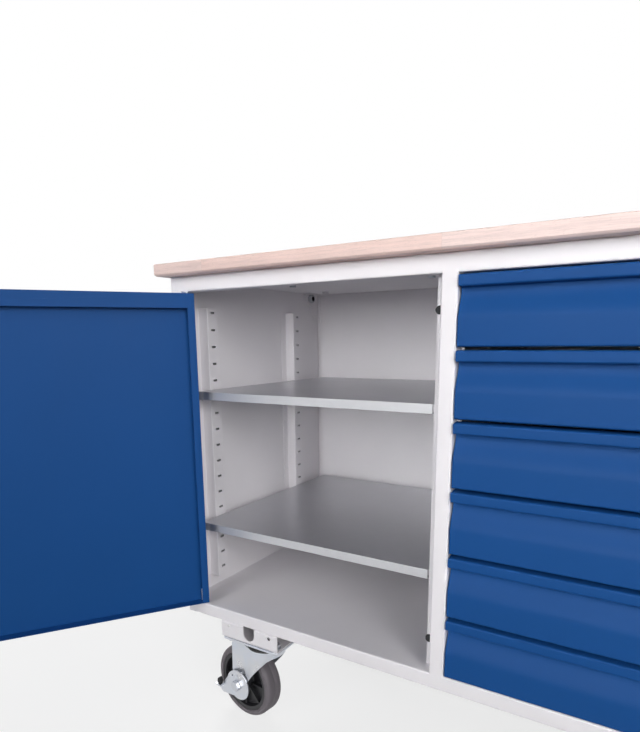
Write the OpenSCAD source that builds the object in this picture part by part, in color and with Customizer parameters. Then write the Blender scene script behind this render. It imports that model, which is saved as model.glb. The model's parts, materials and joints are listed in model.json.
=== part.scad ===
// Mobile workbench: a sheet-steel carcass with a cupboard bay and a bay of six drawers,
// a beech worktop and four castors. Millimetres, +Z up, front faces -Y.
// The frame's origin is on the floor, at the middle of the whole bench with its door standing open.

/* [Carcass] */
// Width of the carcass
body_w = 1050; // [900:10:1200]
// Depth of the carcass
body_d = 525; // [480:5:600]
// Height of the door and drawer openings
opening_h = 600; // [540:10:660]
// Height of the rail above the openings
top_rail_h = 27; // [22:1:40]
// Height of the rail below the openings
bottom_rail_h = 25; // [20:1:40]
// Width of the three front posts
post_w = 24; // [20:1:30]
// Depth of the front posts
post_d = 26; // [24:1:30]
// Thickness of the carcass sheet
sheet_t = 1.5; // [1:0.1:2]

/* [Worktop] */
// Thickness of the beech worktop
top_t = 21; // [20:1:40]
// How far the worktop stands out in front
top_front = 27; // [10:1:40]
// How far the worktop stands out at each side
top_side = 12; // [4:1:25]
// How far the worktop stands out behind
top_back = 23; // [0:1:50]
// Chamfer along the worktop's lower edge
top_chamfer = 3; // [1:0.5:6]

/* [Door] */
// Angle at which the door stands open
door_open = 125; // [90:1:135]
// Thickness of the folded door
door_t = 20; // [16:1:22]
// Gap round the door
door_gap = 2; // [1.5:0.5:4]
// Distance of the hinge pins from the door's hinge edge
pin_in = 9.5; // [9:0.5:12]
// Distance of the hinge pins behind the door's face
pin_back = 4.2; // [4:0.1:4.6]
// Radius of the hinge pins
pin_r = 2.5; // [2:0.1:2.6]
// Height of the folded rim across the top of the door's inner side
door_rim_h = 26; // [20:1:40]
// Width of the folded rim down the two sides of the door's inner side
door_rim_w = 13; // [12:1:22]

/* [Shelves] */
// Number of slots in each shelf strip
slots = 17; // [10:1:17]
// Distance from one slot to the next
slot_pitch = 32.4; // [25:0.1:32.4]
// Height of the highest slot above the cupboard floor
slot_top = 565; // [520:1:568]
// Slot that carries the upper shelf, counted from the top
slot_upper = 5; // [2:1:7]
// Slot that carries the lower shelf, counted from the top
slot_lower = 13; // [9:1:15]
// Depth of the folded edge round a shelf
shelf_edge = 15; // [12:1:20]

/* [Drawers] */
// Number of drawers
drawers = 6; // [6:1:6]
// How far a drawer's handle lip stands out in front of the carcass
lip_out = 5; // [3:0.5:8]
// Height of the handle lip
lip_h = 16; // [14:0.5:20]
// Depth at which the neck under the lip lies behind the front of the carcass
neck_in = 10; // [8:0.5:12]
// Distance from a drawer's top down to where its curved part ends
curve_end = 62; // [50:1:70]
// Depth of the drawer boxes, front to back
drawer_d = 452; // [400:1:460]
// Height of the drawer boxes' sides
drawer_side_h = 62; // [50:1:64]

/* [Castors] */
// Wheel diameter
wheel_d = 150; // [145:5:155]
// Overall height of a castor
castor_h = 195; // [190:1:200]
// Width of the tyre
tyre_w = 40; // [34:1:42]
// Distance from the swivel axis to the wheel's axle
trail = 52; // [46:1:54]
// Angle that the swivel castors are turned to
castor_turn = -8; // [-45:1:45]
// Width of the castor brackets, left to right
bracket_w = 133; // [125:1:140]
// Depth of the castor brackets, front to back
bracket_d = 110; // [104:1:120]
// Height of the castor brackets below the carcass
bracket_h = 34; // [30:1:40]

/* [Hidden] */

$fn = 48;
body_grey = [0.80, 0.79, 0.81];
door_blue = [0.10, 0.25, 0.50];
zinc = [0.72, 0.73, 0.76];
black = [0.08, 0.08, 0.09];

// Heights, from the floor up
plate_top = castor_h;
body_z0 = castor_h + bracket_h;
open_z0 = body_z0 + bottom_rail_h;
open_z1 = open_z0 + opening_h;
body_z1 = open_z1 + top_rail_h;
top_z1 = body_z1 + top_t;

// Widths: two equal bays between three posts
bay_w = (body_w - 3 * post_w) / 2;
bay_x1 = post_w + bay_w;
post_x1 = bay_x1 + post_w;
post_mid = (bay_x1 + post_x1) / 2;
back_y = body_d - 20;
half_t = sheet_t / 2;

// The door, closed, and its pivot
door_x0 = post_w + door_gap;
door_x1 = bay_x1 - door_gap;
door_z0 = open_z0 + door_gap + 1;
door_z1 = open_z1 - door_gap - 1;
pivot_x = door_x0 + pin_in;
pivot_y = pin_back;
door_skin = 1.2;
door_far = door_x1 - pivot_x;
lock_x = door_x1 - 36;
lock_z = (door_z0 + door_z1) / 2;

// The open door reaches furthest left and furthest forward
reach_x0 = pivot_x + door_far * cos(door_open) - pin_back * sin(door_open);
reach_x1 = body_w + top_side;
reach_y0 = pivot_y - door_far * sin(door_open) + (door_t - pin_back) * cos(door_open);
reach_y1 = body_d + top_back;
origin_x = (reach_x0 + reach_x1) / 2;
origin_y = (reach_y0 + reach_y1) / 2;

// Shelf strips and shelves
strip_face = 25;
strip_r_face = bay_x1 - 1;
strip_t = 1.2;
strip_z0 = open_z0 + slot_top - (slots - 1) * slot_pitch - 18;
strip_z1 = open_z0 + slot_top + 10;
front_slot_y = 81;
rear_slot_y = 375;
shelf_x0 = strip_face + 2;
shelf_x1 = strip_r_face - 2;
shelf_y0 = door_t + 3.2;
shelf_y1 = 486;

// Drawers
module_h = opening_h / drawers;
front_x0 = post_x1 + door_gap;
front_x1 = body_w - post_w - door_gap;
front_t = 1.2;
front_back = 17.6;
box_x0 = post_x1 + 15;
box_x1 = body_w - post_w - 15;
box_t = 1;
rail_drop = 62;

// Castors
axle_z = wheel_d / 2;
castor_x = 153;
castor_y = 55;
tyre_in = 62;
leg_y = 29;
crown_r = 38;
fork_t = 2.5;
hub_r = 20;
lever_gap = 4.6;

// A sheet folded along a line of corners, as its outline
bend_step = 22.5;
function unit(v) = v / norm(v);
function left_of(v) = [-v[1], v[0]];
function turned(v, a) = [v[0] * cos(a) - v[1] * sin(a), v[0] * sin(a) + v[1] * cos(a)];
function turn_of(a, b) = atan2(a[0] * b[1] - a[1] * b[0], a[0] * b[0] + a[1] * b[1]);
function bend(p, a, b, d, r) =
    let (q = turn_of(a, b), s = q < 0 ? -1 : 1, n = max(1, ceil(abs(q) / bend_step)))
    let (c = p + unit(b - a) * r / cos(q / 2))
    [for (k = [0:n]) c + (r - s * d) * turned(-s * left_of(a), q * k / n)];
function side_line(p, d, r) = let (n = len(p) - 1) concat(
    [p[0] + d * left_of(unit(p[1] - p[0]))],
    [for (i = [1:n - 1]) each bend(p[i], unit(p[i] - p[i - 1]), unit(p[i + 1] - p[i]), d, r)],
    [p[n] + d * left_of(unit(p[n] - p[n - 1]))]);
function flipped(p) = [for (i = [len(p) - 1:-1:0]) p[i]];
module folded(p, t = sheet_t, r = 2) {
    polygon(concat(side_line(p, t / 2, r), flipped(side_line(p, -t / 2, r))));
}

// Flat outlines carried along an axis: (y, z) along X, (x, z) along Y, (x, y) along Z
module along_x(x0, x1) {
    translate([x0, 0, 0]) rotate([90, 0, 90]) linear_extrude(x1 - x0) children();
}
module along_y(y0, y1) {
    translate([0, y1, 0]) rotate([90, 0, 0]) linear_extrude(y1 - y0) children();
}
module along_z(z0, z1) {
    translate([0, 0, z0]) linear_extrude(z1 - z0) children();
}
module block(a, b) {
    translate(a) cube(b - a);
}
module upright_hole(x, y, z0, z1, r) {
    translate([x, y, z0]) cylinder(h = z1 - z0, r = r);
}
module cross_hole(x, z, y0, y1, r) {
    translate([x, y1, z]) rotate([90, 0, 0]) cylinder(h = y1 - y0, r = r);
}
module round_corners(w, d, r) {
    square([w - 2 * r, d], center = true);
    square([w, d - 2 * r], center = true);
    for (sx = [-1, 1], sy = [-1, 1])
        translate([sx * (w / 2 - r), sy * (d / 2 - r)]) circle(r = r);
}
module hexagon(across) {
    circle(r = across / 2 / cos(30), $fn = 6);
}
module placed() {
    translate([-origin_x, -origin_y, 0]) children();
}
module mirrored_at(x) {
    translate([2 * x, 0, 0]) mirror([1, 0, 0]) children();
}

// Carcass: side panels whose front edge is folded into the post
module side_panel() {
    h = half_t;
    along_z(body_z0, body_z1) folded([
        [8, post_d - h],
        [post_w - h, post_d - h],
        [post_w - h, h],
        [h, h],
        [h, body_d - h],
        [20, body_d - h]]);
}
module left_side() {
    color(body_grey) placed() side_panel();
}
module right_side() {
    color(body_grey) placed() mirrored_at(body_w / 2) side_panel();
}

// Middle post: a hat whose wings lie back from the front and stop the door
module centre_post() {
    h = half_t;
    color(body_grey) placed() along_z(open_z0, open_z1) folded([
        [bay_x1 - 13, post_d - h],
        [bay_x1 + h, post_d - h],
        [bay_x1 + h, h],
        [post_x1 - h, h],
        [post_x1 - h, post_d - h],
        [post_x1 + 5, post_d - h]]);
}
module centre_partition() {
    h = half_t;
    color(body_grey) placed() along_z(open_z0, body_z1 - sheet_t) folded([
        [bay_x1 - 6, post_d + h],
        [post_mid, post_d + h],
        [post_mid, back_y - h],
        [post_mid - 14, back_y - h]]);
}
module back_panel() {
    h = half_t;
    color(body_grey) placed() along_z(open_z0, body_z1 - sheet_t) folded([
        [sheet_t + h, body_d - 4],
        [sheet_t + h, back_y + h],
        [body_w - sheet_t - h, back_y + h],
        [body_w - sheet_t - h, body_d - 4]]);
}

// Floor and top: a flat sheet folded into a rail along the front and along the back
module rail_sheet(z_sheet, z_rail) {
    h = half_t;
    along_x(post_w, body_w - post_w) folded([
        [20, z_rail],
        [h, z_rail],
        [h, z_sheet],
        [body_d - h, z_sheet],
        [body_d - h, z_rail],
        [body_d - 18, z_rail]]);
    along_z(z_sheet - h, z_sheet + h) translate([sheet_t, post_d + 0.5])
        square([body_w - 2 * sheet_t, body_d - post_d - 2.5]);
}
module floor_panel() {
    color(body_grey) placed() difference() {
        rail_sheet(open_z0 - half_t, body_z0 + half_t);
        upright_hole(pivot_x, pivot_y, open_z0 - 3, open_z0 + 1, pin_r + 0.05);
    }
}
module top_panel() {
    color(body_grey) placed() difference() {
        union() {
            rail_sheet(body_z1 - half_t, open_z1 + half_t);
            ceiling_tab();
        }
        cross_hole(tab_x, body_z1 - 7, tab_y - 1, tab_y + 3, 2);
        upright_hole(pivot_x, pivot_y, open_z1 - 1, open_z1 + 3, pin_r + 0.05);
        for (x = screw_x, y = screw_y)
            upright_hole(x, y, body_z1 - 3, body_z1 + 1, 4.3);
    }
}

// Small lanced tab that hangs from the ceiling of the cupboard
tab_x = 71;
tab_y = 430;
module ceiling_tab() {
    z = body_z1 - sheet_t;
    along_y(tab_y, tab_y + sheet_t) polygon([
        [tab_x - 10, z + 0.5],
        [tab_x + 10, z + 0.5],
        [tab_x + 1.5, z - 12],
        [tab_x - 1.5, z - 12]]);
}

// Tapering gusset in each rear top corner, held to the side wall by a bolt and a tall nut
gusset_z = body_z1 - sheet_t;
gusset_bolt_y = back_y - 38;
gusset_bolt_z = gusset_z - 12;
module gusset() {
    difference() {
        union() {
            along_x(sheet_t, sheet_t + 2) polygon([
                [back_y, gusset_z],
                [back_y - 67, gusset_z],
                [back_y - 62, gusset_z - 18],
                [back_y - 43, gusset_z - 28],
                [back_y - 34, gusset_z - 40],
                [back_y - 22, gusset_z - 57],
                [back_y - 11, gusset_z - 68],
                [back_y, gusset_z - 70]]);
            block([sheet_t, back_y - 67, gusset_z - 2], [22, back_y, gusset_z]);
            block([sheet_t, back_y - 2, gusset_z - 70], [sheet_t + 10, back_y, gusset_z]);
        }
        translate([0, gusset_bolt_y, gusset_bolt_z]) rotate([0, 90, 0]) cylinder(h = 6, r = 4.2);
    }
}
module gusset_bolt() {
    translate([sheet_t, gusset_bolt_y, gusset_bolt_z]) rotate([0, 90, 0]) {
        cylinder(h = 3, r = 4);
        difference() {
            translate([0, 0, 2]) linear_extrude(10) hexagon(17);
            translate([0, 0, 4]) cylinder(h = 9, r = 5.8);
        }
    }
}
module corner_gussets() {
    color(body_grey) placed() {
        gusset();
        mirrored_at(body_w / 2) gusset();
    }
}
module gusset_bolts() {
    color(zinc) placed() {
        gusset_bolt();
        mirrored_at(body_w / 2) gusset_bolt();
    }
}

// Worktop, screwed down from below
screw_x = [110, 410, 640, 940];
screw_y = [70, 235];
module worktop() {
    c = top_chamfer;
    color([0.80, 0.62, 0.45]) placed() difference() {
        intersection() {
            along_x(-top_side, body_w + top_side) polygon([
                [-top_front + c, body_z1],
                [body_d + top_back - c, body_z1],
                [body_d + top_back, body_z1 + c],
                [body_d + top_back, top_z1 - 1],
                [body_d + top_back - 1, top_z1],
                [-top_front + 1, top_z1],
                [-top_front, top_z1 - 1],
                [-top_front, body_z1 + c]]);
            along_y(-top_front, body_d + top_back) polygon([
                [-top_side + c, body_z1],
                [body_w + top_side - c, body_z1],
                [body_w + top_side, body_z1 + c],
                [body_w + top_side, top_z1 - 1],
                [body_w + top_side - 1, top_z1],
                [-top_side + 1, top_z1],
                [-top_side, top_z1 - 1],
                [-top_side, body_z1 + c]]);
        }
        for (x = screw_x, y = screw_y)
            upright_hole(x, y, body_z1 - 1, body_z1 + 18.2, 4.2);
    }
}
module worktop_screws() {
    color(zinc) placed() for (x = screw_x, y = screw_y) translate([x, y, body_z1 - sheet_t]) {
        cylinder(h = sheet_t + 18, r = 4);
        translate([0, 0, -5.5]) linear_extrude(5.5) hexagon(13);
        translate([0, 0, -0.8]) cylinder(h = 0.8, r = 8.5);
    }
}

// Slotted channel strips for the shelves: on the left wall and on the partition
module strip_profile(wall, face) {
    s = face > wall ? -1 : 1;
    w = wall - s * strip_t / 2;
    f = face + s * strip_t / 2;
    h = 15 - strip_t / 2;
    folded([[w, -32], [w, -h], [f, -h], [f, h], [w, h], [w, 32]], strip_t, 1.4);
}
module strip(wall, face, y) {
    difference() {
        translate([0, y, 0]) along_z(strip_z0, strip_z1) strip_profile(wall, face);
        for (i = [0:slots - 1])
            translate([face, y, open_z0 + slot_top - i * slot_pitch + 1])
                cube([6, 10, 4], center = true);
    }
}
module shelf_strips() {
    wall_r = post_mid - half_t;
    color(body_grey) placed() for (y = [front_slot_y, rear_slot_y]) {
        strip(sheet_t, strip_face, y);
        strip(wall_r, strip_r_face, y);
    }
}

// Galvanised shelf: a shallow tray turned over, its front edge returned underneath
function shelf_z(i) = open_z0 + slot_top - i * slot_pitch + 1 + shelf_edge;
module shelf(i) {
    z1 = shelf_z(i);
    z0 = z1 - shelf_edge;
    difference() {
        block([shelf_x0, shelf_y0, z0], [shelf_x1, shelf_y1, z1]);
        block([shelf_x0 + 1, shelf_y0 + 1, z0 + 1], [shelf_x1 - 1, shelf_y1 - 1, z1 - 1]);
        block([shelf_x0 + 1, shelf_y0 + 12, z0 - 1], [shelf_x1 - 1, shelf_y1 - 1, z0 + 2]);
        for (x = [shelf_x0, shelf_x1])
            translate([x, shelf_y1, z0 + 7]) cube([4, 4, 16], center = true);
        block([bay_x1 - 15, shelf_y0 - 1, z0 - 1], [shelf_x1 + 1, post_d + 1.5, z1 + 1]);
    }
}
module shelf_upper() {
    color(zinc) placed() shelf(slot_upper);
}
module shelf_lower() {
    color(zinc) placed() shelf(slot_lower);
}

// Clip: a tongue through a slot with a hook behind the strip and a lug inside the shelf's edge
module clip(i, y, face, s) {
    z = open_z0 + slot_top - i * slot_pitch;
    translate([face, y, z]) {
        for (a = [[-6, -1, 14, 2], [-4.4, 1, 2, 6], [4, 1, 2, 7]])
            translate([s > 0 ? a[0] : -a[0] - a[2], -4, a[1]]) cube([a[2], 8, a[3]]);
    }
}
module shelf_clips() {
    color(zinc) placed() for (i = [slot_upper, slot_lower], y = [front_slot_y, rear_slot_y]) {
        clip(i, y, strip_face, 1);
        clip(i, y, strip_r_face, -1);
    }
}

// Rubber buffers on the middle post's wing
module door_buffers() {
    color(black) placed() for (z = [open_z0 + 45.5, open_z0 + 553])
        translate([bay_x1 - 9, post_d - sheet_t, z]) rotate([90, 0, 0])
            cylinder(h = post_d - sheet_t - door_t - 0.3, r1 = 6.5, r2 = 5.2);
}

// Telescopic rails' fixed members, one each side of each drawer
function rail_z(k) = open_z1 - module_h * k - rail_drop;
module rail(reach) {
    x = reach - 0.6;
    along_y(post_d + 2, back_y - 2) folded([
        [x, -5],
        [x, -9.4],
        [0.6, -9.4],
        [0.6, 9.4],
        [x, 9.4],
        [x, 5]], 1.2, 1);
}
module drawer_rails() {
    wall_l = post_mid + half_t;
    wall_r = body_w - sheet_t;
    color(zinc) placed() for (k = [0:drawers - 1]) translate([0, 0, rail_z(k)]) {
        translate([wall_l, 0, 0]) rail(box_x0 - 2 - wall_l);
        translate([wall_r, 0, 0]) mirror([1, 0, 0]) rail(wall_r - box_x1 - 2);
    }
}

// Castor bracket: a channel with a D-shaped cut-out in its front wall and a taller rear wall
module bracket() {
    b = bracket_d;
    difference() {
        along_x(-bracket_w / 2, bracket_w / 2) folded([
            [18, body_z0 - 1.25],
            [1.25, body_z0 - 1.25],
            [1.25, plate_top + 1.25],
            [b - 1.25, plate_top + 1.25],
            [b - 1.25, open_z0 - sheet_t - 1.25],
            [b - 18, open_z0 - sheet_t - 1.25]], 2.5, 2.6);
        cross_hole(0, body_z0 - 14, -1, 24, 13);
        block([-13, -1, body_z0 - 14], [13, 24, body_z0 + 1]);
        for (x = [-48.5, 48.5])
            cross_hole(x, body_z0 - 8, -1, 6, 3.3);
        for (sx = [-1, 1], sy = [-1, 1])
            upright_hole(sx * 52.5, castor_y + sy * 40, plate_top - 1, plate_top + 4, 5.5);
        upright_hole(0, castor_y, plate_top - 1, plate_top + 4, 12);
    }
}
module bracket_at(x, rear) {
    color(body_grey) placed() translate([x, rear ? body_d : 0, 0])
        mirror([0, rear ? 1 : 0, 0]) bracket();
}
module bracket_front_left() {
    bracket_at(castor_x, false);
}
module bracket_front_right() {
    bracket_at(body_w - castor_x, false);
}
module bracket_rear_left() {
    bracket_at(castor_x, true);
}
module bracket_rear_right() {
    bracket_at(body_w - castor_x, true);
}

// Castors: everything about the swivel axis, floor at z = 0, wheel trailing towards -X
module swivel_castor(rear) {
    placed() translate([castor_x, rear ? body_d - castor_y : castor_y, 0])
        rotate([0, 0, castor_turn]) mirror([0, rear ? 1 : 0, 0]) children();
}
module fixed_castor(rear) {
    placed() translate([body_w - castor_x, rear ? body_d - castor_y : castor_y, 0])
        mirror([0, rear ? 1 : 0, 0]) children();
}
module top_plate() {
    difference() {
        along_z(plate_top - 4, plate_top) round_corners(bracket_w + 2, bracket_d, 10);
        for (sx = [-1, 1], sy = [-1, 1])
            upright_hole(sx * 52.5, sy * 40, plate_top - 5, plate_top + 1, 5.5);
    }
}
// The plate stays square to the bench, with a ball race and the riveted king pin under it
module swivel_plate(rear) {
    color(zinc) placed() translate([castor_x, rear ? body_d - castor_y : castor_y, 0]) {
        top_plate();
        rotate_extrude() polygon([
            [0, plate_top - 4],
            [0, plate_top - 20],
            [10, plate_top - 20],
            [11, plate_top - 19],
            [11, plate_top - 17.9],
            [6, plate_top - 17.9],
            [6, plate_top - 8.4],
            [24, plate_top - 8.4],
            [30, plate_top - 7],
            [33, plate_top - 4]]);
    }
}
module swivel_plate_front() {
    swivel_plate(false);
}
module swivel_plate_rear() {
    swivel_plate(true);
}

// Pressed fork: a dome round the king pin that runs back into two flat legs
function tangent_at(r, h) =
    let (a = atan2(h, -37) - acos(r / norm([37, h])))
    r * [cos(a), sin(a)];
module fork_plan(t) {
    r = crown_r - t;
    h = leg_y - t;
    p = tangent_at(r, h);
    circle(r = r, $fn = 96);
    polygon([[-90, -h], [-37, -h], [p[0], -p[1]], [p[0], p[1]], [-37, h], [-90, h]]);
}
module fork_side() {
    polygon([
        [crown_r + 2, plate_top],
        [crown_r + 2, plate_top - 37],
        [crown_r - 5, plate_top - 39],
        [26, plate_top - 44],
        [-21, axle_z + 21],
        [-trail + hub_r, axle_z],
        [-trail - hub_r, axle_z],
        [-trail - hub_r, axle_z + 24],
        [-trail - hub_r + 1, plate_top - 33],
        [-crown_r, plate_top - 12],
        [-crown_r, plate_top]]);
    translate([-trail, axle_z]) circle(r = hub_r);
}
module swivel_fork() {
    z1 = plate_top - 13;
    color(zinc) difference() {
        intersection() {
            along_z(axle_z - 40, z1) fork_plan(0);
            along_y(-60, 60) fork_side();
            rotate_extrude($fn = 96) polygon(concat(
                [[0, 20], [100, 20], [100, z1 - 13], [crown_r, z1 - 13]],
                [for (a = [15:15:75]) [crown_r - 5 + 5 * cos(a), z1 - 13 + 5 * sin(a)]],
                [[31.2, z1 - 3], [31, z1], [0, z1]]));
        }
        intersection() {
            along_z(axle_z - 60, z1 - 4.5) fork_plan(fork_t);
            rotate_extrude($fn = 96) polygon(concat(
                [[0, 10], [110, 10], [110, z1 - 13], [crown_r - fork_t, z1 - 13]],
                [for (a = [15:15:45]) [crown_r - 5 + 2.5 * cos(a), z1 - 13 + 2.5 * sin(a)]],
                [[32.2, z1 - 9.5], [29, z1 - 4.5], [0, z1 - 4.5]]));
        }
        upright_hole(0, 0, z1 - 6, z1 + 1, 6.05);
        cross_hole(-trail, axle_z, -60, 60, 6.05);
    }
    color(zinc) rotate_extrude() polygon([
        [21, z1 - 2],
        [21, z1 + 2.6],
        [24, z1 + 4.2],
        [28, z1 + 4.2],
        [30.5, z1 + 2],
        [30.5, z1 - 2]]);
}
module swivel_fork_front() {
    swivel_castor(false) swivel_fork();
}
module swivel_fork_rear() {
    swivel_castor(true) swivel_fork();
}

// Wheel: a rounded tyre on a moulded rim with ribs, turning on a sleeve
module tyre() {
    w = tyre_w / 2;
    r = wheel_d / 2;
    color([0.42, 0.40, 0.42]) translate([0, 0, axle_z]) rotate([90, 0, 0])
        rotate_extrude($fn = 96) polygon(concat(
            [[tyre_in + 0.05, -w + 1.2], [tyre_in + 1.6, -w + 0.1], [r - 8.5, -w + 0.1]],
            [for (a = [-75:15:0]) [r - 9 + 9 * cos(a), 9 - w + 9 * sin(a)]],
            [for (a = [0:15:75]) [r - 9 + 9 * cos(a), w - 9 + 9 * sin(a)]],
            [[r - 8.5, w - 0.1], [tyre_in + 1.6, w - 0.1], [tyre_in + 0.05, w - 1.2]]));
}
module rim() {
    w = tyre_w / 2;
    color(black) translate([0, 0, axle_z]) rotate([90, 0, 0]) {
        rotate_extrude($fn = 96) polygon([
            [8.05, -w - 4],
            [15, -w - 4],
            [17, -w - 2],
            [18, -6],
            [51, -6],
            [54, -w + 2],
            [tyre_in, -w + 2],
            [tyre_in, w - 2],
            [54, w - 2],
            [51, 6],
            [18, 6],
            [17, w + 2],
            [15, w + 4],
            [8.05, w + 4]]);
        for (k = [0:7]) rotate([0, 0, 45 * k]) translate([16, -1.5, -13]) cube([37, 3, 26]);
    }
}
module swivel_tyre_front() {
    swivel_castor(false) translate([-trail, 0, 0]) tyre();
}
module swivel_tyre_rear() {
    swivel_castor(true) translate([-trail, 0, 0]) tyre();
}
module swivel_rim_front() {
    swivel_castor(false) translate([-trail, 0, 0]) rim();
}
module swivel_rim_rear() {
    swivel_castor(true) translate([-trail, 0, 0]) rim();
}
module fixed_tyre_front() {
    fixed_castor(false) tyre();
}
module fixed_tyre_rear() {
    fixed_castor(true) tyre();
}
module fixed_rim_front() {
    fixed_castor(false) rim();
}
module fixed_rim_rear() {
    fixed_castor(true) rim();
}

// Axle: bolt, sleeve between the legs, head on the near side and nut on the far side
module axle(head_y) {
    inner = leg_y - fork_t;
    color(zinc) translate([0, 0, axle_z]) rotate([90, 0, 0]) {
        translate([0, 0, -leg_y - 9]) cylinder(h = leg_y + 9 + head_y, r = 6);
        translate([0, 0, -inner]) cylinder(h = 2 * inner, r = 8);
        translate([0, 0, head_y]) linear_extrude(7.5) hexagon(19);
        translate([0, 0, -leg_y - 8]) linear_extrude(8) hexagon(19);
    }
}
module swivel_axle_front() {
    swivel_castor(false) translate([-trail, 0, 0]) axle(leg_y + lever_gap + 3.3);
}
module swivel_axle_rear() {
    swivel_castor(true) translate([-trail, 0, 0]) axle(leg_y + lever_gap + 3.3);
}
module fixed_axles() {
    fixed_castor(false) axle(leg_y);
    fixed_castor(true) axle(leg_y);
}

// Brake lever: a round boss on the axle, a collar behind it, a cranked arm and a tread for the pad
module brake_lever() {
    y1 = -leg_y - lever_gap;
    y0 = y1 - 3;
    color(zinc) translate([-trail, 0, axle_z]) difference() {
        union() {
            along_y(y0, y1) {
                translate([2, 0.5]) circle(r = 31);
                polygon([
                    [-14, 24],
                    [-27.6, 9.6],
                    [-34.4, 1.1],
                    [-40.6, -8.4],
                    [-43.5, -14],
                    [-57, -14],
                    [-57, -24],
                    [-44, -33],
                    [-10, -28]]);
            }
            along_y(y1 - 1, -leg_y - 0.3) circle(r = 10.5);
            block([-57, y0 - 9, -17], [-43, y1, -14]);
        }
        cross_hole(0, 0, y0 - 1, -leg_y + 1, 6.06);
        cross_hole(1, 22, y0 - 1, y1 + 1, 2.2);
        cross_hole(-13, 17, y0 - 1, y1 + 1, 2.2);
    }
}
module brake_pad() {
    y0 = -leg_y - lever_gap - 3;
    color(black) translate([-trail - 47.6, 0, axle_z - 14]) along_y(y0 - 8, y0) intersection() {
        translate([0, 7]) scale([0.5, 1]) circle(r = 8.5);
        translate([-6, 0]) square([12, 17]);
    }
}
module brake_lever_front() {
    swivel_castor(false) brake_lever();
}
module brake_lever_rear() {
    swivel_castor(true) brake_lever();
}
module brake_pad_front() {
    swivel_castor(false) brake_pad();
}
module brake_pad_rear() {
    swivel_castor(true) brake_pad();
}

// Fixed fork: the plate with two flanged legs straight below it
module fixed_fork() {
    color(zinc) {
        top_plate();
        difference() {
            intersection() {
                union() {
                    for (s = [-1, 1]) {
                        along_y(s > 0 ? leg_y - fork_t : -leg_y, s > 0 ? leg_y : -leg_y + fork_t)
                            fixed_side();
                        along_y(s > 0 ? leg_y - fork_t : -leg_y - 5, s > 0 ? leg_y + 5 : -leg_y + fork_t)
                            fixed_edge();
                    }
                    along_z(plate_top - 7, plate_top - 4) square([84, 2 * leg_y], center = true);
                }
                block([-60, -60, 40], [60, 60, plate_top - 4]);
            }
            cross_hole(0, axle_z, -60, 60, 6.05);
        }
    }
}
module fixed_side() {
    polygon([
        [-42, plate_top - 4],
        [42, plate_top - 4],
        [38, plate_top - 40],
        [hub_r, axle_z],
        [-hub_r, axle_z],
        [-38, plate_top - 40]]);
    translate([0, axle_z]) circle(r = hub_r);
}
module fixed_edge() {
    for (s = [-1, 1]) {
        polygon([
            [s * 42, plate_top - 4],
            [s * 39.5, plate_top - 4],
            [s * 35.5, plate_top - 40],
            [s * (hub_r + 4), axle_z + 22],
            [s * (hub_r + 6.5), axle_z + 22],
            [s * 38, plate_top - 40]]);
    }
}
module fixed_fork_front() {
    fixed_castor(false) fixed_fork();
}
module fixed_fork_rear() {
    fixed_castor(true) fixed_fork();
}
module castor_bolts() {
    color(zinc) placed() for (x = [castor_x, body_w - castor_x], y = [castor_y, body_d - castor_y])
        for (sx = [-1, 1], sy = [-1, 1]) translate([x + sx * 52.5, y + sy * 40, plate_top]) {
            translate([0, 0, -4]) cylinder(h = 17, r = 5);
            translate([0, 0, -10.4]) linear_extrude(6.4) hexagon(16);
            translate([0, 0, 2.5]) linear_extrude(8) hexagon(16);
        }
}

// Everything on the door is drawn closed, then swung open about the hinge pins
module opened() {
    placed() translate([pivot_x, pivot_y, 0]) rotate([0, 0, -door_open])
        translate([-pivot_x, -pivot_y, 0]) children();
}
module door_shell() {
    s = door_skin;
    color(door_blue) opened() difference() {
        block([door_x0, 0, door_z0], [door_x1, door_t, door_z1]);
        block([door_x0 + s, s, door_z0 + s], [door_x1 - s, door_t - s, door_z1 - s]);
        block(
            [door_x0 + door_rim_w, s + 1, door_z0 + s],
            [door_x1 - door_rim_w, door_t + 1, door_z1 - door_rim_h]);
        for (z = [door_z0 - 1, door_z1 - s - 1])
            upright_hole(pivot_x, pivot_y, z, z + s + 2, pin_r + 0.02);
        cross_hole(lock_x, lock_z, -1, s + 1, 9.6);
    }
}
module hinge_pins() {
    color(zinc) opened() {
        translate([pivot_x, pivot_y, door_z1 - 24]) cylinder(h = 30, r = pin_r);
        translate([pivot_x, pivot_y, door_z0 - 5]) cylinder(h = 29, r = pin_r);
    }
}
module lock_housing() {
    color(zinc) opened() translate([lock_x, 0, lock_z]) rotate([90, 0, 0]) difference() {
        union() {
            translate([0, 0, -24]) cylinder(h = 24, r = 9.5);
            rotate_extrude() polygon([[0, 0], [14, 0], [13, 2], [0, 2]]);
            translate([0, 0, -6]) linear_extrude(6 - door_skin) hexagon(24);
        }
        translate([0, 0, -30]) cylinder(h = 40, r = 5.05);
    }
}
module lock_knob() {
    color(black) opened() translate([lock_x, 0, lock_z]) rotate([90, 0, 0]) {
        translate([0, 0, -28]) cylinder(h = 32, r = 5);
        translate([0, 0, 2.3]) cylinder(h = 3, r = 10);
        translate([0, 0, 5.3]) linear_extrude(8) union() {
            square([5, 16], center = true);
            for (s = [-1, 1]) translate([0, 8 * s]) circle(r = 2.5);
        }
    }
}
module lock_cam() {
    color(zinc) opened() translate([lock_x, 0, lock_z]) {
        along_y(28, 30.5) {
            circle(r = 9);
            translate([-7, -30]) square([14, 30]);
            translate([0, -30]) circle(r = 7);
        }
        along_y(30.5, 33.5) hexagon(10);
    }
}

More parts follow.
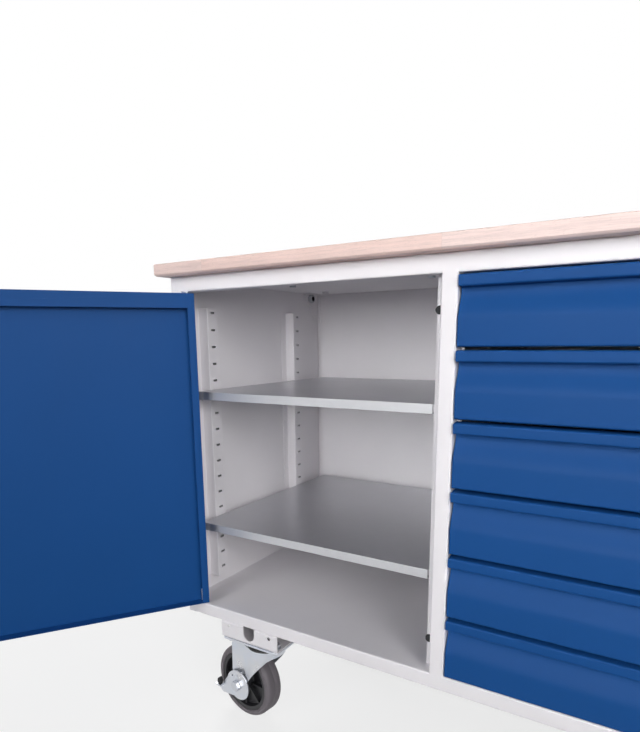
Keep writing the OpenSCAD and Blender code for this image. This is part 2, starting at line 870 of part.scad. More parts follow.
// Drawer front: one sheet rolled into a handle lip, a neck and a curve down to a flat lower panel
function ease(t) = (1 - cos(180 * t)) / 2;
function front_path(z1) = let (
    h = front_t / 2,
    low = module_h - 1.75 - h,
    flat_y = -1.5 + h,
    neck_y = neck_in + h,
    lip_top = 2.75,
    lip_low = lip_top + lip_h - h)
    concat(
        [[front_back, z1 - low], [flat_y, z1 - low]],
        [for (k = [0:14]) [
            flat_y + (neck_y - flat_y) * ease(k / 14),
            z1 - curve_end + (curve_end - lip_low - 5) * k / 14]],
        [[neck_y, z1 - lip_low], [-lip_out + h, z1 - lip_low]],
        [[-lip_out + h, z1 - lip_top - h], [front_back, z1 - lip_top - h]]);
module drawer_front(k) {
    z1 = open_z1 - module_h * k;
    path = front_path(z1);
    outer = side_line(path, front_t / 2, 2.6);
    color(door_blue) placed() difference() {
        union() {
            along_x(front_x0, front_x1) folded(path, front_t, 2.6);
            for (x = [front_x0, front_x1 - 1.2])
                along_x(x, x + 1.2) polygon(outer);
        }
        lip_corner(front_x0, 1, z1 - 2.75, -1);
        lip_corner(front_x0, 1, z1 - 2.75 - lip_h, 1);
        lip_corner(front_x1, -1, z1 - 2.75, -1);
        lip_corner(front_x1, -1, z1 - 2.75 - lip_h, 1);
    }
}
module lip_corner(x, sx, z, sz) {
    r = 2.5;
    along_y(-lip_out - 1, -lip_out + 9) difference() {
        translate([x + (sx > 0 ? -1 : -r), z + (sz > 0 ? -1 : -r)]) square(r + 1);
        translate([x + sx * r, z + sz * r]) circle(r = r);
    }
}

// Drawer box: a tray with rolled top edges, whose front wall carries the front by its two ends,
// and the moving rail member on each side
function box_z(k) = open_z1 - module_h * k - 93;
module drawer_box(k) {
    z0 = box_z(k);
    z1 = z0 + drawer_side_h;
    y0 = front_back;
    y1 = front_back + drawer_d;
    h = box_t / 2;
    color([0.62, 0.63, 0.65]) placed() {
        along_y(y0, y1) folded([
            [box_x0 + 5, z1 - 3],
            [box_x0 + 5, z1 - h],
            [box_x0 + h, z1 - h],
            [box_x0 + h, z0 + h],
            [box_x1 - h, z0 + h],
            [box_x1 - h, z1 - h],
            [box_x1 - 5, z1 - h],
            [box_x1 - 5, z1 - 3]], box_t, 0.8);
        block([front_x0, y0, z0 + h], [front_x1, y0 + box_t, z1 - h]);
        block([box_x0 + h, y1 - box_t, z0 + h], [box_x1 - h, y1, z1 - 6]);
        runner(rail_z(k), box_x0, -1);
        runner(rail_z(k), box_x1, 1);
    }
}
module runner(z, x, s) {
    y1 = front_back + drawer_d - 8;
    for (a = [[0, 3.4, 3.5], [3.4, 5, 7.5]])
        block(
            [s > 0 ? x + a[0] - 0.2 : x - a[0] - a[1], front_back + 12, z - a[2]],
            [s > 0 ? x + a[0] + a[1] : x - a[0] + 0.2, y1, z + a[2]]);
}

left_side();
right_side();
centre_post();
centre_partition();
back_panel();
floor_panel();
top_panel();
corner_gussets();
gusset_bolts();
worktop();
worktop_screws();
shelf_strips();
shelf_upper();
shelf_lower();
shelf_clips();
door_buffers();
drawer_rails();
bracket_front_left();
bracket_front_right();
bracket_rear_left();
bracket_rear_right();
swivel_plate_front();
swivel_plate_rear();
fixed_fork_front();
fixed_fork_rear();
fixed_axles();
castor_bolts();
door_shell();
hinge_pins();
lock_housing();
lock_knob();
lock_cam();
drawer_front(0);  // drawer_1_front
drawer_box(0);  // drawer_1_box
drawer_front(1);  // drawer_2_front
drawer_box(1);  // drawer_2_box
drawer_front(2);  // drawer_3_front
drawer_box(2);  // drawer_3_box
drawer_front(3);  // drawer_4_front
drawer_box(3);  // drawer_4_box
drawer_front(4);  // drawer_5_front
drawer_box(4);  // drawer_5_box
drawer_front(5);  // drawer_6_front
drawer_box(5);  // drawer_6_box
swivel_fork_front();
swivel_axle_front();
swivel_tyre_front();
swivel_rim_front();
brake_lever_front();
brake_pad_front();
swivel_fork_rear();
swivel_axle_rear();
swivel_tyre_rear();
swivel_rim_rear();
brake_lever_rear();
brake_pad_rear();
fixed_tyre_front();
fixed_rim_front();
fixed_tyre_rear();
fixed_rim_rear();
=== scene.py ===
"""Mobile workbench: the looks of every piece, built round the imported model."""

import json
from math import cos, pi, radians, sin, tau

import bmesh
import bpy
from bpy.props import FloatProperty, FloatVectorProperty, IntProperty, PointerProperty
from mathutils import Matrix, Vector


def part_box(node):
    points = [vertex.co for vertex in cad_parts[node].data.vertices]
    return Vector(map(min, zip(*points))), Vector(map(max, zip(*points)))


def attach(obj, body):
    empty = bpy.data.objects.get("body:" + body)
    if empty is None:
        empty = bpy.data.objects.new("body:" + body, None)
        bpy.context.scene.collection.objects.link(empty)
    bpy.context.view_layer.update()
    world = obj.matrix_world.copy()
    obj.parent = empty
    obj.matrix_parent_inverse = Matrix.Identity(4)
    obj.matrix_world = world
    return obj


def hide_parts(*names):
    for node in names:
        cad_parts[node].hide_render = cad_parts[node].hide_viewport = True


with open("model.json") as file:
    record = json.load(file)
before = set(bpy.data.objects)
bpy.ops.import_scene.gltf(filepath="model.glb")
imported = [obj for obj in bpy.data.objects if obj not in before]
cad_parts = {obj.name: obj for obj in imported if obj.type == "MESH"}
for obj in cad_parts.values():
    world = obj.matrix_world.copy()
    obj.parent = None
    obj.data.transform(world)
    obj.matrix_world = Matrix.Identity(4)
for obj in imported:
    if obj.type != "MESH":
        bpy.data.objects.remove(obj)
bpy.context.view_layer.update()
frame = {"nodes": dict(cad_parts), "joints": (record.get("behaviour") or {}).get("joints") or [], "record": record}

bl_info = {
    "name": "Mobile Workbench",
    "version": (1, 0, 0),
    "blender": (4, 5, 0),
    "location": "3D View > Sidebar > Workbench",
    "description": "Dresses a mobile workbench with drawers, a cupboard and castors",
    "category": "Object",
}

MM = 0.001
RECORD = frame["record"]
BODY_OF = {n: b for b, nodes in RECORD["behaviour"]["bodies"].items() for n in nodes}
SLOT_OF = {row["node"]: row["material_slot"] for row in RECORD["subparts"]}
ENDS = ("front", "rear")
DRAWERS = range(1, 7)
# Near-black of painted shade, for gaps, bores and slot rims that lie in shadow
PAINTED_SHADE = (0.020, 0.019, 0.020)
LENS_SHIFT = (0.00579, 0.11966)  # the photograph's middle lies off the lens's axis

# Radii that edges are eased to, in millimetres, and the share of it that thin sheet gets
FINE_EASE, SMALL_EASE, PLAIN_EASE, RUBBER_EASE, PAD_EASE = 0.4, 0.5, 0.6, 0.8, 1.2
THIN_SHARE, RAIL_SHARE = 0.6, 0.5

# Angles over which an edge stays sharp, in degrees
SHEET_ANGLE, TURNED_ANGLE = 38.0, 32.0


# Node trees


class Wire:
    """One output of a node. Arithmetic on it adds the nodes that work the answer out."""

    def __init__(self, web, socket):
        self.web, self.socket = web, socket

    def out(self, name):
        """Another output of the same node."""
        return Wire(self.web, self.web.find(self.socket.node.outputs, name))

    def __add__(self, other):
        return self.web.work_out("ADD", self, other)

    def __radd__(self, other):
        return self.web.work_out("ADD", other, self)

    def __sub__(self, other):
        return self.web.work_out("SUBTRACT", self, other)

    def __rsub__(self, other):
        return self.web.work_out("SUBTRACT", other, self)

    def __mul__(self, other):
        return self.web.work_out("MULTIPLY", self, other)

    def __rmul__(self, other):
        return self.web.work_out("MULTIPLY", other, self)

    def __truediv__(self, other):
        return self.web.work_out("DIVIDE", self, other)

    def __rtruediv__(self, other):
        return self.web.work_out("DIVIDE", other, self)


class Web:
    """Builds one node tree, for a material or for Geometry Nodes."""

    def __init__(self, tree):
        self.tree = tree

    @staticmethod
    def find(sockets, key):
        """The socket with that place, identifier or name."""
        if isinstance(key, int):
            return sockets[key]
        for socket in sockets:
            if socket.identifier == key:
                return socket
        for socket in sockets:
            if socket.name == key and socket.enabled:
                return socket
        raise KeyError(f"no socket {key!r} among {[s.name for s in sockets]}")

    def feed(self, socket, value):
        """Link a wire to a socket, or set the socket's own value."""
        if isinstance(value, Wire):
            self.tree.links.new(value.socket, socket)
        elif socket.type == "RGBA":
            socket.default_value = (*value[:3], 1.0)
        else:
            socket.default_value = value

    def node(self, kind, settings=None, inputs=None, output=0):
        """Add a node: its settings first, then its inputs. Gives one of its outputs."""
        made = self.tree.nodes.new(kind)
        for name, value in (settings or {}).items():
            setattr(made, name, value)
        for key, value in (inputs or {}).items():
            self.feed(self.find(made.inputs, key), value)
        return Wire(self, self.find(made.outputs, output)) if made.outputs else None

    def work_out(self, operation, *terms):
        """Arithmetic on numbers or vectors. Colours go through mix instead."""
        kinds = {term.socket.type for term in terms if isinstance(term, Wire)}
        kind = "ShaderNodeVectorMath" if "VECTOR" in kinds else "ShaderNodeMath"
        return self.node(kind, {"operation": operation}, dict(enumerate(terms)))

    def mix(self, share, first, second):
        """Blend two colours, with a share of the second."""
        settings = {"data_type": "RGBA", "blend_type": "MIX", "clamp_factor": True}
        inputs = {"Factor_Float": share, "A_Color": first, "B_Color": second}
        return self.node("ShaderNodeMix", settings, inputs, "Result_Color")

    def between(self, value, low, high):
        """How far a number has come from low to high, held from 0 to 1."""
        inputs = {"Value": value, "From Min": low, "From Max": high}
        return self.node("ShaderNodeMapRange", {"clamp": True}, inputs)


class Finish(Web):
    """One material, with helpers for the patterns that the finishes share."""

    def __init__(self, name):
        self.material = bpy.data.materials.new(name)
        self.material.use_nodes = True
        self.material.node_tree.nodes.clear()
        super().__init__(self.material.node_tree)
        self.place = self.node("ShaderNodeTexCoord", output="Object")

    def stretched(self, factors):
        """The place on the piece with each axis scaled."""
        return self.place * factors

    def noise(self, scale, detail=2.0, rough=0.5, at=None):
        """Soft noise from 0 to 1, with scale waves to the metre and layers of finer detail."""
        inputs = {"Vector": at or self.place, "Scale": scale, "Detail": detail, "Roughness": rough}
        return self.node("ShaderNodeTexNoise", {"noise_dimensions": "3D"}, inputs, "Fac")

    def bump(self, height, distance, strength):
        """A normal from a height, of which 1 stands for the distance in metres."""
        inputs = {"Strength": strength, "Distance": distance, "Height": height}
        return self.node("ShaderNodeBump", None, inputs)

    def surface(self, **sockets):
        """Finish the material with a surface shader."""
        inputs = {name.replace("_", " "): value for name, value in sockets.items()}
        shader = self.node("ShaderNodeBsdfPrincipled", None, inputs)
        self.node("ShaderNodeOutputMaterial", None, {"Surface": shader})
        return self.material


# Finishes


def shade(colour, factor):
    """A colour made lighter or darker."""
    return tuple(min(1.0, part * factor) for part in colour[:3])


def powder_coat(name, colour, gloss, shine=0.5):
    """Baked powder coat: a fine peel, and slight clouding of colour and gloss."""
    coat = Finish(name)
    cloud = coat.noise(5.0, 3.0)
    grain = coat.noise(420.0, 2.0, 0.6)
    smear = coat.noise(16.0, 4.0, 0.6, coat.stretched((1.0, 1.0, 0.25)))
    tone = coat.mix(coat.between(cloud, 0.3, 0.7), shade(colour, 0.97), shade(colour, 1.02))
    speck = coat.between(grain, 0.62, 0.78)
    tone = coat.mix(speck * 0.06, tone, shade(colour, 0.8))
    return coat.surface(
        Base_Color=tone,
        Roughness=gloss + (smear - 0.5) * 0.12 + speck * 0.05,
        Specular_IOR_Level=shine,
        Normal=coat.bump(grain + coat.noise(140.0) * 1.5, 0.00012, 0.22),
    )


def laminated_beech(name, colour, stave_width, stave_length):
    """Oiled beech glued up from staves, with its grain along the bench and short dark flecks."""
    wood = Finish(name)
    row_shift = 0.37  # in stave widths, so that no joint runs along the middle
    half_joint = 0.0004
    split = wood.node("ShaderNodeSeparateXYZ", None, {"Vector": wood.place})
    along, across = split.out("X"), split.out("Y")
    row_inputs = {0: across / stave_width + row_shift}
    row = wood.node("ShaderNodeMath", {"operation": "FLOOR"}, row_inputs)
    # Odd factors give each row, and each piece in it, its own random numbers
    white = {"noise_dimensions": "1D"}
    shift = wood.node("ShaderNodeTexWhiteNoise", white, {"W": row * 7.13 + 2.0}, "Value")
    run = along / stave_length + shift * 5.0
    piece = wood.node("ShaderNodeMath", {"operation": "FLOOR"}, {0: run})
    pick = wood.node("ShaderNodeTexWhiteNoise", white, {"W": row * 31.7 + piece * 3.9}, "Value")
    pink = wood.node("ShaderNodeTexWhiteNoise", white, {"W": row * 11.3 + piece * 8.7}, "Value")
    joint_inputs = {0: run - piece - 0.5}
    middle = wood.node("ShaderNodeMath", {"operation": "ABSOLUTE"}, joint_inputs)
    joint = wood.between(middle, 0.5 - half_joint / stave_length, 0.5)
    offset = wood.node("ShaderNodeCombineXYZ", None, {"X": pick * 3.0, "Y": pink, "Z": pick})
    own_place = wood.place + offset
    rings = wood.noise(2.4, 5.0, 0.62, own_place * (2.2, 60.0, 60.0))
    fibre = wood.noise(9.0, 3.0, 0.6, own_place * (5.0, 90.0, 90.0))
    fleck = wood.noise(1.0, 1.0, 0.5, own_place * (190.0, 1400.0, 1400.0))
    flecks = wood.between(fleck, 0.64, 0.72)
    light, dark = shade(colour, 1.10), shade(colour, 0.80)
    red = (colour[0] * 1.04, colour[1] * 0.88, colour[2] * 0.80)
    tone = wood.mix(wood.between(rings, 0.32, 0.68), light, dark)
    tone = wood.mix(wood.between(pink, 0.3, 0.9) * 0.7, tone, red)
    tone = wood.mix(pick * 0.24, tone, shade(colour, 0.78))
    tone = wood.mix(wood.between(fibre, 0.48, 0.75) * 0.38, tone, shade(colour, 0.6))
    tone = wood.mix(flecks * 0.30, tone, shade(colour, 0.5))
    tone = wood.mix(joint * 0.3, tone, shade(colour, 0.5))
    return wood.surface(
        Base_Color=tone,
        Roughness=0.46 + (fibre - 0.5) * 0.2,
        Normal=wood.bump(rings * 0.4 + fibre * 0.5 - flecks * 0.4 - joint, 0.00025, 0.35),
    )


def galvanised_sheet(name, colour):
    """Galvanised sheet: a faint spangle, rolled one way, with soft cloudy gloss."""
    sheet = Finish(name)
    spangle_inputs = {"Vector": sheet.place, "Scale": 75.0, "Randomness": 1.0}
    cells = sheet.node("ShaderNodeTexVoronoi", {"feature": "F1"}, spangle_inputs, "Color")
    pick = sheet.node("ShaderNodeSeparateColor", None, {"Color": cells}, "Red")
    rolled = sheet.noise(3.0, 4.0, 0.6, sheet.stretched((3.0, 160.0, 160.0)))
    cloud = sheet.noise(6.0, 3.0)
    tone = sheet.mix(pick * 0.25 + rolled * 0.3, shade(colour, 0.93), shade(colour, 1.05))
    return sheet.surface(
        Base_Color=tone,
        Metallic=0.92,
        Roughness=0.32 + (cloud - 0.5) * 0.14 + pick * 0.03,
        Normal=sheet.bump(rolled, 0.00006, 0.12),
    )


def zinc_plate(name, colour, gloss):
    """Bright zinc plate on pressed steel: a bluish cast, soft pressing marks and dull patches."""
    plate = Finish(name)
    cloud = plate.noise(22.0, 4.0, 0.6)
    fine = plate.noise(600.0, 2.0)
    blue = (colour[0] * 0.92, colour[1] * 0.97, min(1.0, colour[2] * 1.04))
    tone = plate.mix(plate.between(cloud, 0.35, 0.65), colour, blue)
    tone = plate.mix(plate.between(fine, 0.6, 0.8) * 0.2, tone, shade(colour, 0.75))
    return plate.surface(
        Base_Color=tone,
        Metallic=0.85,
        Roughness=gloss + (cloud - 0.5) * 0.18,
        Normal=plate.bump(fine * 0.12 + cloud * 2.0, 0.0001, 0.16),
    )


def moulded(name, colour, gloss, grain=380.0, depth=0.00012):
    """Moulded plastic or rubber: a fine grain and a dry bloom where it has been handled."""
    skin = Finish(name)
    fine = skin.noise(grain, 3.0, 0.6)
    bloom = skin.noise(14.0, 4.0, 0.55)
    tone = skin.mix(skin.between(bloom, 0.5, 0.85) * 0.35, colour, shade(colour, 1.5))
    return skin.surface(
        Base_Color=tone,
        Roughness=gloss + (bloom - 0.5) * 0.15,
        Normal=skin.bump(fine, depth, 0.3),
    )


def finish(slot):
    """The material for one of the record's slots, made once."""
    name = "finish_" + slot
    if name in bpy.data.materials:
        return bpy.data.materials[name]
    tints = bpy.context.scene.bench_colours
    top = bpy.context.scene.bench_worktop
    makers = {
        "body_paint": lambda: powder_coat(name, tints.body, 0.42),
        "blue_paint": lambda: powder_coat(name, tints.front, 0.5, 0.12),
        "drawer_steel": lambda: powder_coat(name, tints.drawer, 0.45),
        "beech": lambda: laminated_beech(name, tints.beech, top.stave_width, top.stave_length),
        "galvanised": lambda: galvanised_sheet(name, tints.galvanised),
        "zinc": lambda: zinc_plate(name, tints.zinc, 0.30),
        "bolt_steel": lambda: zinc_plate(name, shade(tints.zinc, 0.92), 0.34),
        "grey_tyre": lambda: moulded(name, tints.tyre, 0.62, 260.0, 0.0002),
        "black_plastic": lambda: moulded(name, tints.plastic, 0.42),
        # Painted shade: a near-black for faces that lie in shadow
        "painted_shade": lambda: moulded(name, PAINTED_SHADE, 0.5, 90.0, 0.0002),
        "black_rubber": lambda: moulded(name, shade(tints.plastic, 0.7), 0.7),
    }
    return makers[slot]()


# Making and settling pieces


def linked(name, mesh):
    """A new object for a mesh, in the scene."""
    made = bpy.data.objects.new(name, mesh)
    bpy.context.scene.collection.objects.link(made)
    return made


def smoothed(mesh, angle):
    """Smooth shading that stays sharp at edges over an angle."""
    mesh.shade_smooth()
    mesh.set_sharp_from_angle(angle=radians(angle))
    return mesh


def settle(piece, node):
    """Give a finished piece its material and its body, and hide the node it stands for."""
    slot = SLOT_OF[node]
    if not piece.data.materials:
        piece.data.materials.append(finish(slot))
    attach(piece, BODY_OF[node])
    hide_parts(node)


def slab(shape, low, high):
    """Add a closed box between two corners, such as a weld that is ground flush."""
    size = [b - a for a, b in zip(low, high)]
    place = Matrix.Translation([(a + b) / 2 for a, b in zip(low, high)])
    bmesh.ops.create_cube(shape, size=1.0, matrix=place @ Matrix.Diagonal((*size, 1.0)))


def dressed(node, radius, steps=2, welds=(), dark=None):
    """Make a copy of a node's solid with its sharp edges eased, in its own finish.

    The radius is in millimetres. Welds are pairs of corners of closed boxes. Dark tells from the
    middle of a face whether it takes painted shade, a near-black for gaps, bores and rims in shadow.
    """
    same_spot, flat, sharp = 2e-6, radians(0.6), radians(35.0)
    shape = bmesh.new()
    shape.from_mesh(frame["nodes"][node].data)
    bmesh.ops.remove_doubles(shape, verts=shape.verts, dist=same_spot)
    bmesh.ops.dissolve_limit(shape, angle_limit=flat, verts=shape.verts, edges=shape.edges)
    for low, high in welds:
        slab(shape, low, high)
    mesh = bpy.data.meshes.new(node + "_eased")
    shape.to_mesh(mesh)
    shape.free()
    mesh.materials.clear()
    if dark:
        mesh.materials.append(finish(SLOT_OF[node]))
        # The second finish is painted shade, for faces that lie in shadow
        mesh.materials.append(finish("painted_shade"))
        for face in mesh.polygons:
            face.material_index = int(dark(face.center))
    piece = linked(node + "_eased", smoothed(mesh, SHEET_ANGLE))
    ease = piece.modifiers.new("Eased edges", "BEVEL")
    ease.width, ease.segments = radius * MM, steps
    ease.limit_method, ease.angle_limit = "ANGLE", sharp
    ease.miter_outer = "MITER_ARC"
    ease.use_clamp_overlap = True
    even = piece.modifiers.new("Even shading", "WEIGHTED_NORMAL")
    even.keep_sharp = True
    settle(piece, node)


def axis_turn(direction):
    """The turn that carries +Z to a direction."""
    return Vector(direction).to_track_quat("Z", "Y").to_matrix().to_4x4()


def turned(name, outline, centre, direction, steps):
    """A closed outline of (radius, height) in millimetres spun about an axis."""
    shape = bmesh.new()
    rings = []
    for radius, height in outline:
        ring = []
        for k in range(steps):
            turn = tau * k / steps
            spot = Vector((radius * cos(turn), radius * sin(turn), height)) * MM
            ring.append(shape.verts.new(spot))
        rings.append(ring)
    for here, following in zip(rings, rings[1:] + rings[:1]):
        for k in range(steps):
            after = (k + 1) % steps
            shape.faces.new((here[k], here[after], following[after], following[k]))
    bmesh.ops.recalc_face_normals(shape, faces=shape.faces)
    shape.transform(Matrix.Translation(centre) @ axis_turn(direction))
    mesh = bpy.data.meshes.new(name)
    shape.to_mesh(mesh)
    shape.free()
    return smoothed(mesh, TURNED_ANGLE)


def joined(name, *meshes):
    """One object from several meshes."""
    whole = bmesh.new()
    for mesh in meshes:
        whole.from_mesh(mesh)
    mesh = bpy.data.meshes.new(name)
    whole.to_mesh(mesh)
    whole.free()
    for used in meshes[0].materials:
        mesh.materials.append(used)
    return linked(name, smoothed(mesh, TURNED_ANGLE))


def grown(name, base, tree, values):
    """The plain mesh that a Geometry Nodes tree makes from a base mesh and its inputs."""
    holder = linked(name + "_base", base)
    modifier = holder.modifiers.new("Grow", "NODES")
    modifier.node_group = tree
    ids = {
        item.name: item.identifier
        for item in tree.interface.items_tree
        if item.item_type == "SOCKET" and item.in_out == "INPUT"
    }
    for key, value in values.items():
        modifier[ids[key]] = value
    graph = bpy.context.evaluated_depsgraph_get()
    mesh = bpy.data.meshes.new_from_object(holder.evaluated_get(graph))
    holder.modifiers.remove(modifier)
    bpy.data.objects.remove(holder)
    mesh.name = name
    return mesh


def new_tree(name, inputs):
    """An empty Geometry Nodes tree with named inputs, and its builder."""
    tree = bpy.data.node_groups.new(name, "GeometryNodeTree")
    tree.interface.new_socket("Geometry", in_out="OUTPUT", socket_type="NodeSocketGeometry")
    tree.interface.new_socket("Geometry", in_out="INPUT", socket_type="NodeSocketGeometry")
    for label, kind in inputs:
        tree.interface.new_socket(label, in_out="INPUT", socket_type="NodeSocket" + kind)
    web = Web(tree)
    return tree, web, web.node("NodeGroupInput", output="Geometry")


def close_tree(web, geometry, material):
    """Real geometry and its material end every tree."""
    real = web.node("GeometryNodeRealizeInstances", None, {"Geometry": geometry})
    done = web.node("GeometryNodeSetMaterial", None, {"Geometry": real, "Material": material})
    web.node("NodeGroupOutput", None, {"Geometry": done})


def fixings_tree():
    """Sets one fixing on every point, along the point's own direction."""
    name = "Fixings"
    if name in bpy.data.node_groups:
        return bpy.data.node_groups[name]
    inputs = [("Fixing", "Object"), ("Across Flats", "Float"), ("Height", "Float")]
    tree, web, given = new_tree(name, [*inputs, ("Finish", "Material")])
    facing = web.node(
        "GeometryNodeInputNamedAttribute",
        {"data_type": "FLOAT_VECTOR"},
        {"Name": "facing"},
        "Attribute",
    )
    turn = web.node(
        "FunctionNodeAlignRotationToVector", {"axis": "Z"}, {"Vector": facing}, "Rotation"
    )
    across, height = given.out("Across Flats"), given.out("Height")
    scale = web.node("ShaderNodeCombineXYZ", None, {"X": across, "Y": across, "Z": height})
    shape_inputs = {"Object": given.out("Fixing"), "As Instance": True}
    shape = web.node("GeometryNodeObjectInfo", None, shape_inputs, "Geometry")
    placed = web.node(
        "GeometryNodeInstanceOnPoints",
        None,
        {"Points": given, "Instance": shape, "Rotation": turn, "Scale": scale},
    )
    close_tree(web, placed, given.out("Finish"))
    return tree


def round_tree(name, make_shape):
    """Sets copies of one shape evenly round a ring, each turned to face outwards."""
    if name in bpy.data.node_groups:
        return bpy.data.node_groups[name]
    labels = [("Count", "Int"), ("Ring Radius", "Float"), ("Width", "Float")]
    labels += [("Thickness", "Float"), ("Depth", "Float"), ("Finish", "Material")]
    tree, web, given = new_tree(name, labels)
    ring = web.node(
        "GeometryNodeMeshCircle",
        {"fill_type": "NONE"},
        {"Vertices": given.out("Count"), "Radius": given.out("Ring Radius")},
    )
    index = web.node("GeometryNodeInputIndex")
    turn = web.node("ShaderNodeCombineXYZ", None, {"Z": index * tau / given.out("Count")})
    shape = make_shape(web, given)
    placed = web.node(
        "GeometryNodeInstanceOnPoints",
        None,
        {"Points": ring, "Instance": shape, "Rotation": turn},
    )
    close_tree(web, placed, given.out("Finish"))
    return tree


def rib(web, given):
    """A moulded rib that stands on edge along the wheel's radius."""
    size = {"X": given.out("Width"), "Y": given.out("Thickness"), "Z": given.out("Depth")}
    box = web.node("ShaderNodeCombineXYZ", None, size)
    count = {"Size": box, "Vertices X": 4, "Vertices Y": 2, "Vertices Z": 3}
    return web.node("GeometryNodeMeshCube", None, count, "Mesh")


def ringed(name, tree, slot, centre, direction, **sizes):
    """The mesh of a round tree, set on an axis."""
    values = {key.replace("_", " ").title(): value for key, value in sizes.items()}
    values["Finish"] = finish(slot)
    mesh = grown(name, bpy.data.meshes.new(name), tree, values)
    mesh.transform(Matrix.Translation(centre) @ axis_turn(direction))
    return mesh


def hex_fixing(name, stud=0.0):
    """A chamfered hexagon one unit across flats and one high, on a washer, with a stud end."""
    flat_radius, brow_radius, drop = 0.5, 0.465, 0.55  # drop is the chamfer's slope
    stud_radius, stud_edge, stud_taper = 0.27, 0.97, 0.86
    washer_bore, washer_radius, washer_height, washer_steps = 0.2, 0.66, 0.12, 36
    steps_to_a_flat = 8
    shape = bmesh.new()
    count = 6 * steps_to_a_flat
    low, high, brow, cap = [], [], [], []
    for k in range(count):
        turn = tau * k / count
        corner = flat_radius / cos((turn + pi / 6) % (pi / 3) - pi / 6)
        spot = Vector((cos(turn), sin(turn), 0))
        low.append(shape.verts.new(spot * corner))
        fall = (corner - brow_radius) * drop
        high.append(shape.verts.new(spot * corner + Vector((0, 0, 1 - fall))))
        brow.append(shape.verts.new(spot * brow_radius + Vector((0, 0, 1))))
        cap.append(shape.verts.new(spot * stud_radius + Vector((0, 0, 1))))
    rings = [low, high, brow, cap]
    if stud:
        rings.append([shape.verts.new((v.co.x, v.co.y, stud_edge + stud)) for v in cap])
        inner = [(v.co.x * stud_taper, v.co.y * stud_taper, 1 + stud) for v in cap]
        rings.append([shape.verts.new(spot) for spot in inner])
    for here, following in zip(rings, rings[1:]):
        for k in range(count):
            after = (k + 1) % count
            shape.faces.new((here[k], here[after], following[after], following[k]))
    shape.faces.new(rings[-1])
    loops = []
    for radius, height in (
        (washer_bore, 0.0),
        (washer_radius, 0.0),
        (washer_radius, washer_height),
        (washer_bore, washer_height),
    ):
        turns = [tau * k / washer_steps for k in range(washer_steps)]
        spots = [(radius * cos(turn), radius * sin(turn), height) for turn in turns]
        loops.append([shape.verts.new(spot) for spot in spots])
    for here, following in zip(loops, loops[1:] + loops[:1]):
        for k in range(washer_steps):
            after = (k + 1) % washer_steps
            shape.faces.new((here[k], here[after], following[after], following[k]))
    shape.faces.new(list(reversed(low)))
    bmesh.ops.recalc_face_normals(shape, faces=shape.faces)
    mesh = bpy.data.meshes.new(name)
    shape.to_mesh(mesh)
    shape.free()
    return linked(name, mesh)


def set_fixings(name, fixing, places, across, height):
    """The mesh of a fixing, sized in millimetres, at (place, direction) pairs in metres."""
    base = bpy.data.meshes.new(name)
    base.from_pydata([tuple(place) for place, _ in places], [], [])
    facing = base.attributes.new("facing", "FLOAT_VECTOR", "POINT")
    for datum, (_, direction) in zip(facing.data, places):
        datum.vector = direction
    values = {
        "Fixing": fixing,
        "Across Flats": across * MM,
        "Height": height * MM,
        "Finish": finish("bolt_steel"),
    }
    return grown(name, base, fixings_tree(), values)


# What the frame says about places


def joint_place(name):
    """Where a joint's axis passes, and its direction."""
    for joint in frame["joints"]:
        if joint["name"] == name:
            return Vector(joint["pos_m"]), Vector(joint["axis"]).normalized()
    raise ValueError(f"the frame has no joint {name}")


# Sizes and colours that a user would change


def colour_property(label, note, value):
    """A colour in scene-linear values."""
    return FloatVectorProperty(
        name=label, description=note, default=value, size=3, min=0, max=1, subtype="COLOR"
    )


class BenchColours(bpy.types.PropertyGroup):
    """Colours of the finishes."""

    body: colour_property("Body", "Powder coat of the carcass", (0.86, 0.835, 0.862))
    front: colour_property("Fronts", "Powder coat of the door and drawers", (0.009, 0.070, 0.250))
    drawer: colour_property("Drawer boxes", "Powder coat of the drawer boxes", (0.55, 0.56, 0.58))
    beech: colour_property("Beech", "Oiled beech of the worktop", (0.88, 0.69, 0.645))
    galvanised: colour_property("Galvanised", "Shelves and rails", (0.57, 0.575, 0.60))
    zinc: colour_property("Zinc", "Castor forks and fixings", (0.66, 0.665, 0.69))
    tyre: colour_property("Tyre", "Elastic rubber of the wheels", (0.15, 0.135, 0.15))
    plastic: colour_property("Plastic", "Rims and the lock's knob", (0.012, 0.012, 0.015))


class BenchSheet(bpy.types.PropertyGroup):
    """Sizes of the sheet-metal work."""

    ease: FloatProperty(
        name="Edge ease", description="Radius at cut sheet edges, in millimetres", default=0.35
    )
    door_ease: FloatProperty(
        name="Door edge ease",
        description="Radius at the door's folds, in millimetres",
        default=0.5,
    )


class BenchWorktop(bpy.types.PropertyGroup):
    """Sizes of the worktop."""

    stave_width: FloatProperty(
        name="Stave width", description="Width of one stave", default=0.043, unit="LENGTH"
    )
    stave_length: FloatProperty(
        name="Stave length", description="Usual length of a stave", default=0.42, unit="LENGTH"
    )
    edge: FloatProperty(
        name="Edge round", description="Radius of the sanded edges, in millimetres", default=0.6
    )


class BenchWheels(bpy.types.PropertyGroup):
    """Sizes of the wheels."""

    ribs: IntProperty(name="Ribs", description="Moulded ribs in each rim", default=8, min=3)


